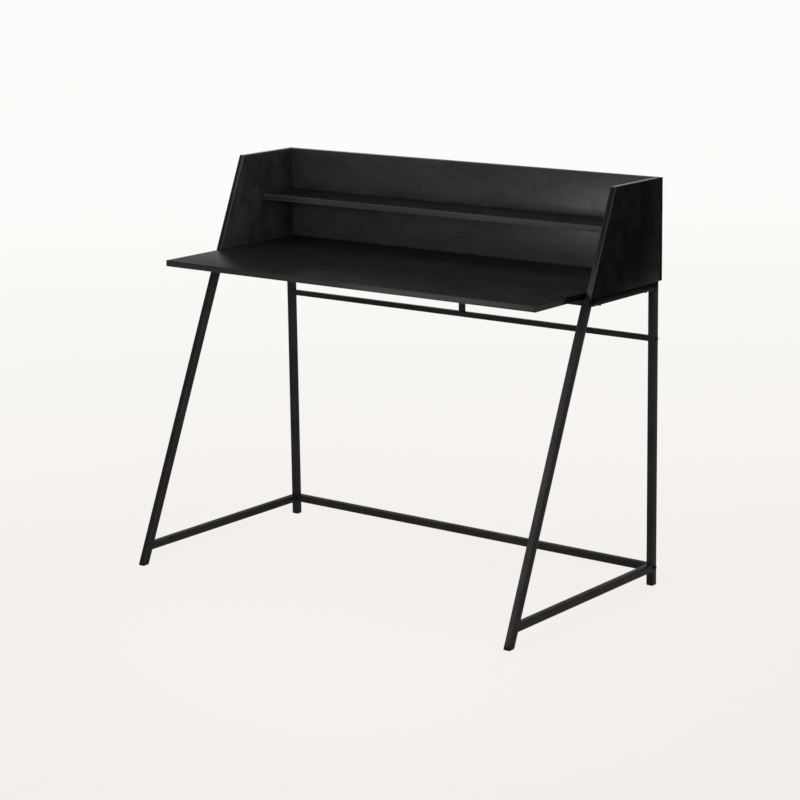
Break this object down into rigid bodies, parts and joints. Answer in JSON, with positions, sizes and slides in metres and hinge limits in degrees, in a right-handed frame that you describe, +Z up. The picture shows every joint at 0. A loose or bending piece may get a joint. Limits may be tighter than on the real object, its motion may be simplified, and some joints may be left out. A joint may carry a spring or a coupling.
{
  "type": "computer desk with hutch",
  "caption": "Free-standing desk with a low hutch: thin black worktop between raked side panels, back panel and shelf, on a slim square-tube frame with slanting front legs.",
  "frame": {"origin": "on the floor, under the middle of the desk's bounding box", "axes": "+X along the desk's width, towards the sitter's right; +Y from the front towards the back panel; +Z up"},
  "size_m": [1.1372, 0.6192, 0.9798],
  "materials": {
    "frame_coating": "black powder coat, satin",
    "black_laminate": "black woodgrain laminate on particle board, satin",
    "black_plastic": "moulded, matte",
    "black_fastener": "black oxide",
    "zinc_steel": "zinc plated",
    "beech": "bare wood"
  },
  "bodies": {
    "root": {"left_front_leg": "frame_coating", "left_rear_leg": "frame_coating", "left_top_rail": "frame_coating", "left_lower_rail": "frame_coating", "right_front_leg": "frame_coating", "right_rear_leg": "frame_coating", "right_top_rail": "frame_coating", "right_lower_rail": "frame_coating", "front_cross_rail": "frame_coating", "rear_upper_rail": "frame_coating", "rear_lower_rail": "frame_coating", "rear_centre_post": "frame_coating", "left_front_foot": "black_plastic", "left_rear_foot": "black_plastic", "right_front_foot": "black_plastic", "right_rear_foot": "black_plastic", "post_top_plug": "black_plastic", "desktop": "black_laminate", "left_side_panel": "black_laminate", "right_side_panel": "black_laminate", "back_panel": "black_laminate", "shelf": "black_laminate", "left_front_cross_rail_bolt": "black_fastener", "left_front_cross_rail_nut": "zinc_steel", "left_rear_upper_rail_bolt": "black_fastener", "left_rear_upper_rail_nut": "zinc_steel", "left_rear_lower_rail_bolt": "black_fastener", "left_rear_lower_rail_nut": "zinc_steel", "left_panel_screw_front": "black_fastener", "desktop_dowel_left_front": "beech", "shelf_dowel_left_front": "beech", "left_panel_screw_rear": "black_fastener", "desktop_dowel_left_rear": "beech", "shelf_dowel_left_rear": "beech", "back_to_side_screw_left_lower": "zinc_steel", "back_to_side_screw_left_upper": "zinc_steel", "right_front_cross_rail_bolt": "black_fastener", "right_front_cross_rail_nut": "zinc_steel", "right_rear_upper_rail_bolt": "black_fastener", "right_rear_upper_rail_nut": "zinc_steel", "right_rear_lower_rail_bolt": "black_fastener", "right_rear_lower_rail_nut": "zinc_steel", "right_panel_screw_front": "black_fastener", "desktop_dowel_right_front": "beech", "shelf_dowel_right_front": "beech", "right_panel_screw_rear": "black_fastener", "desktop_dowel_right_rear": "beech", "shelf_dowel_right_rear": "beech", "back_to_side_screw_right_lower": "zinc_steel", "back_to_side_screw_right_upper": "zinc_steel", "desktop_screw_left": "black_fastener", "back_to_shelf_screw_left": "zinc_steel", "back_to_desktop_screw_left": "zinc_steel", "desktop_screw_middle": "black_fastener", "back_to_shelf_screw_middle": "zinc_steel", "back_to_desktop_screw_middle": "zinc_steel", "desktop_screw_right": "black_fastener", "back_to_shelf_screw_right": "zinc_steel", "back_to_desktop_screw_right": "zinc_steel"}
  },
  "joints": []
}
